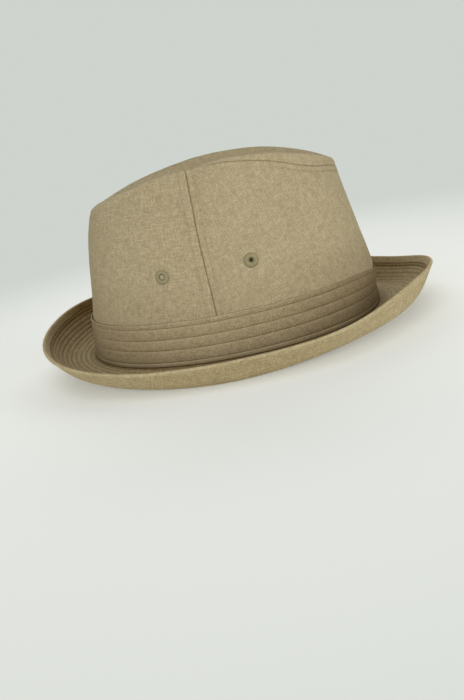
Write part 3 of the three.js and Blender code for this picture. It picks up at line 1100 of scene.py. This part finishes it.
def sewRow(whole, points, normals, closed=False):
    lengths = runLengths(points)
    count, each = max(round(lengths[-1] / stitch["pitch"]), 1), len(stitch["marks"])
    rings = []
    for k in range(count * each + 1):
        number, mark = divmod(k, each)
        length = min((number + stitch["marks"][mark]) / count, 1) * lengths[-1]
        j = min(max(bisect_left(lengths, length), 1), len(lengths) - 1)
        share = (length - lengths[j - 1]) / (lengths[j] - lengths[j - 1])
        normal = normals[j - 1].lerp(normals[j], share).normalized()
        side = (points[j] - points[j - 1]).cross(normal).normalized()
        middle = points[j - 1].lerp(points[j], share) + normal * stitch["heights"][mark]
        thick = stitch["thick"] if closed or 0 < k < count * each else 0
        rings.append((middle, side * thick, normal * thick))
    row = bmesh.new()
    bmesh.ops.create_grid(row, x_segments=count * each, y_segments=stitch["sides"], size=0.5)
    for vert in row.verts:
        middle, side, up = rings[round((vert.co.x + 0.5) * count * each)]
        angle = 2 * pi * (vert.co.y + 0.5)
        vert.co = placed(middle + side * cos(angle) + up * sin(angle))
    bmesh.ops.remove_doubles(row, verts=row.verts, dist=mergeAt)
    bmesh.ops.recalc_face_normals(row, faces=row.faces)
    data = bpy.data.meshes.new("row")
    row.to_mesh(data)
    row.free()
    whole.from_mesh(data)
    bpy.data.meshes.remove(data)


# The top stitches take the darker thread: painted shade on the inside of the brim
for name, side, thread in (("brim_top_stitches", 1, shadedInsideThread), ("brim_under_stitches", -1, seamThread)):
    sewn = bmesh.new()
    for reach in brimRowReach:
        points, normals = [], []
        for turn in roundTurns(stitch["turns"]):
            lift = side * (brim["wall"] / 2 + rowRelief(turn, reach, side)[0])
            point, normal = brimPoint(turn, reach, 0, lift + brimWave(turn, reach))
            point.z = max(point.z, stitch["clear"][side] - hat["bandFoot"])
            points.append(point)
            normals.append(normal * side)
        sewRow(sewn, points, normals, True)
    makePiece(name, sewn, thread)


# Rows beside the side seams and below the seam of the tip
def crownRow(spots, kind):
    points, normals = [], []
    lift = stitch["laid"] * panel["allowance"]
    for turn, station in spots:
        point, normal = crownPoint(turn, station), crownNormal(turn, station)
        points.append(point + normal * (uneven(point) + lift - panel["seams"][kind]["rowDepth"]))
        normals.append(normal)
    return points, normals


def besideSeam(seam, kind):
    way = 1 if (kind == "front") == (seam < 180) else -1
    for k in range(stitch["seamStops"] + 1):
        share = mix(*stitch["seamShares"], k / stitch["seamStops"])
        turn = leanedTurn(seam, share)
        station = stationAt(turn, seamLength(turn) * (1 - share))
        speed = (crownPoint(turn + 1, station) - crownPoint(turn, station)).length
        yield turn + way * panel["seams"][kind]["rowAway"] / speed, station


crownSewn = bmesh.new()
for seam in panel["front"]:
    for kind in ("back", "front"):
        sewRow(crownSewn, *crownRow(besideSeam(seam, kind), kind))
rowAway = panel["seams"]["tip"]["rowAway"]
tipRow = [(turn, stationAt(turn, seamLength(turn) - rowAway)) for turn in roundTurns(stitch["turns"])]
sewRow(crownSewn, *crownRow(tipRow, "tip"), True)
makePiece("crown_stitches", crownSewn, seamThread)


# Eyelet: a ring spun round its axis, its threads raised over the edge
def makeEyelet(place, turn):
    middle, normal = eyeletMiddle(turn)
    mesh = bmesh.new()
    radius, hole, half = eyelet["radius"], eyelet["holes"][place], eyelet["proud"] / 2
    drawnIn = hole < eyelet["drawnIn"]
    outline = [(hole, eyelet["foot"])]
    outline += eyelet["knob"] if drawnIn else [(hole + past, z) for past, z in eyelet["lip"]]
    outline += [(radius - inward, z) for inward, z in eyelet["rim"]]
    verts = [mesh.verts.new((r, 0, z)) for r, z in outline]
    edges = [mesh.edges.new((verts[k], verts[(k + 1) % len(verts)])) for k in range(len(verts))]
    up, count = Vector((0, 0, 1)), eyelet["threads"]
    bmesh.ops.spin(
        mesh, geom=verts + edges, cent=(0, 0, 0), axis=up, angle=2 * pi,
        steps=count * eyelet["threadSteps"], use_merge=True,
    )
    wear = mesh.verts.layers.float.new("wear")
    for vert in mesh.verts:
        angle, away = atan2(vert.co.y, vert.co.x), hypot(vert.co.x, vert.co.y)
        # the knob of a drawn-in eyelet is paler
        knob = eyelet["knobPaler"] * falling(away, *eyelet["knobEdge"]) if drawnIn else 0
        vert[wear] = knob + eyelet["topWear"] * rising(vert.co.z, half, half)
        swirl = angle + eyelet["swirl"] * (away - hole)
        ridge = abs(sin(swirl * count / 2)) ** eyelet["threadPower"] - 0.5
        lift = 2 * eyelet["thread"] * ridge * rising(vert.co.z, *eyelet["raisedFrom"])
        lean = rising(away, *eyelet["tiltOut"]) - falling(away, *eyelet["tiltIn"])
        tilt = Vector((vert.co.x / away, vert.co.y / away, 0)) * lean + up
        x, y = cos(angle) * eyelet["roughAround"], sin(angle) * eyelet["roughAround"]
        vert.co += tilt.normalized() * (lift + eyelet["rough"] * noise.noise(Vector((x, y, turn))))
    turnTo = up.rotation_difference(normal).to_matrix().to_4x4()
    seat = Matrix.Translation(placed(middle)) @ turnTo @ Matrix.Scale(mm, 4)
    bmesh.ops.transform(mesh, matrix=seat, verts=mesh.verts)
    bmesh.ops.remove_doubles(mesh, verts=mesh.verts, dist=mergeAt / 2)
    return makePiece("worked_eyelet_" + place, mesh, eyeletThread, ["eyelet_" + place])


for place, turn in eyeletTurns.items():
    makeEyelet(place, turn)

# Floor: a pale sheet that fades out before its edge and glows faintly, a painted light that also lights the
# brim from below
floorLook = {
    "radius": 1.6,
    "color": (0.74, 0.76, 0.73, 1),
    "fade": (0.16, 0.6, 1, 0),
    # The emission makes the floor glow: painted light, which also lights the brim's underside
    "shader": {"Emission Strength": 0.27, "Roughness": 0.9},
}
floorMaterial, floorTree, floorShader = newMaterial("glowing_floor_paint", floorLook["color"])
floorPlace = addNode(floorTree, "ShaderNodeTexCoord").outputs["Object"]
floorAway = vectorMath(floorTree, "LENGTH", {0: floorPlace}, "Value")
floorFade = shadeRange(floorTree, floorAway, *floorLook["fade"])
floorTree.links.new(floorFade, floorShader.inputs["Alpha"])
setInputs(floorShader, floorLook["shader"])
setInputs(floorShader, {"Base Color": floorLook["color"], "Emission Color": floorLook["color"]})
floorMesh = bmesh.new()
bmesh.ops.create_circle(floorMesh, cap_ends=True, segments=96, radius=floorLook["radius"])
studioFloor = newObject("studio_floor", floorMesh, floorMaterial)

# Light: pale surroundings, a wide low softbox on the camera's side, one behind and weaker ones round it
light = {
    "backdrop": (0.62, 0.655, 0.615),
    "around": (0.16, 0.155, 0.145),
    "aim": (0, 0, 0.06),
    # name, turn from the left side toward the back, height angle, distance, width, height, watts
    "lamps": [
        ("key_softbox", -6, 14, 1.5, 2.4, 1.0, 18.6),
        ("side_softbox", 78, 10, 1.5, 1.2, 0.9, 11),
        ("front_softbox", -84, 10, 1.5, 1.0, 0.9, 2.4),
        ("back_softbox", 186, 24, 1.6, 2.0, 1.0, 17),
        ("top_softbox", 0, 72, 1.5, 1.2, 1.2, 5),
    ],
}
world = bpy.data.worlds.new("studio")
bpy.context.scene.world = world
world.use_nodes = True
worldTree = world.node_tree
backdrop = worldTree.nodes["Background"]
seen = addNode(worldTree, "ShaderNodeLightPath").outputs["Is Camera Ray"]
worldColor = blendColor(worldTree, seen, (*light["around"], 1), (*light["backdrop"], 1))
worldTree.links.new(worldColor, backdrop.inputs["Color"])
for name, turn, height, away, wide, tall, watts in light["lamps"]:
    lamp = bpy.data.lights.new(name, "AREA")
    lamp.shape, lamp.size, lamp.size_y, lamp.energy = "RECTANGLE", wide, tall, watts
    lampObject = bpy.data.objects.new(name, lamp)
    turn, height = radians(turn), radians(height)
    toward = Vector((cos(turn) * cos(height), sin(turn) * cos(height), sin(height)))
    lampObject.location = toward * away + Vector(light["aim"])
    lampObject.rotation_euler = toward.to_track_quat("Z", "Y").to_euler()
    bpy.context.collection.objects.link(lampObject)

# Camera at the photograph's angle: the aim point stands at a pixel of the 464 x 700 frame
cameraLook = {
    "focal": 788.38,
    "away": 566.31,
    "yaw": 6.08,
    "height": 8.52,
    "roll": 12.4,
    "aim": (0, 0, 60),
    "pixel": (221.51, 240.37),
    "frame": (464, 700),
    "sensor": 36,
}
yaw, rise, roll = (radians(cameraLook[key]) for key in ("yaw", "height", "roll"))
backward = Vector((cos(yaw) * cos(rise), sin(yaw) * cos(rise), sin(rise)))
rightward = (-backward).cross(Vector((0, 0, 1))).normalized()
axes = Matrix((rightward, (-backward).cross(rightward), -backward))
axes = Matrix(((cos(roll), sin(roll), 0), (-sin(roll), cos(roll), 0), (0, 0, 1))) @ axes
offset = [pixel - size / 2 for pixel, size in zip(cameraLook["pixel"], cameraLook["frame"])]
sight = Vector((offset[0] / cameraLook["focal"], offset[1] / cameraLook["focal"], 1))
axes = Vector((0, 0, 1)).rotation_difference(sight).to_matrix() @ axes
cameraData = bpy.data.cameras.new("photo_camera")
cameraData.sensor_width = cameraLook["sensor"]
cameraData.lens = cameraLook["focal"] / cameraLook["frame"][1] * cameraLook["sensor"]
cameraData.clip_start = 0.01
camera = bpy.data.objects.new("photo_camera", cameraData)
cameraTurn = Matrix((axes[0], -axes[1], -axes[2])).transposed().to_4x4()
cameraPlace = placed(Vector(cameraLook["aim"]) + backward * cameraLook["away"])
camera.matrix_world = Matrix.Translation(cameraPlace) @ cameraTurn
bpy.context.collection.objects.link(camera)
bpy.context.scene.camera = camera
bpy.context.scene.view_settings.view_transform = "Standard"
print("floor, light and camera ready")

bpy.context.view_layer.update()
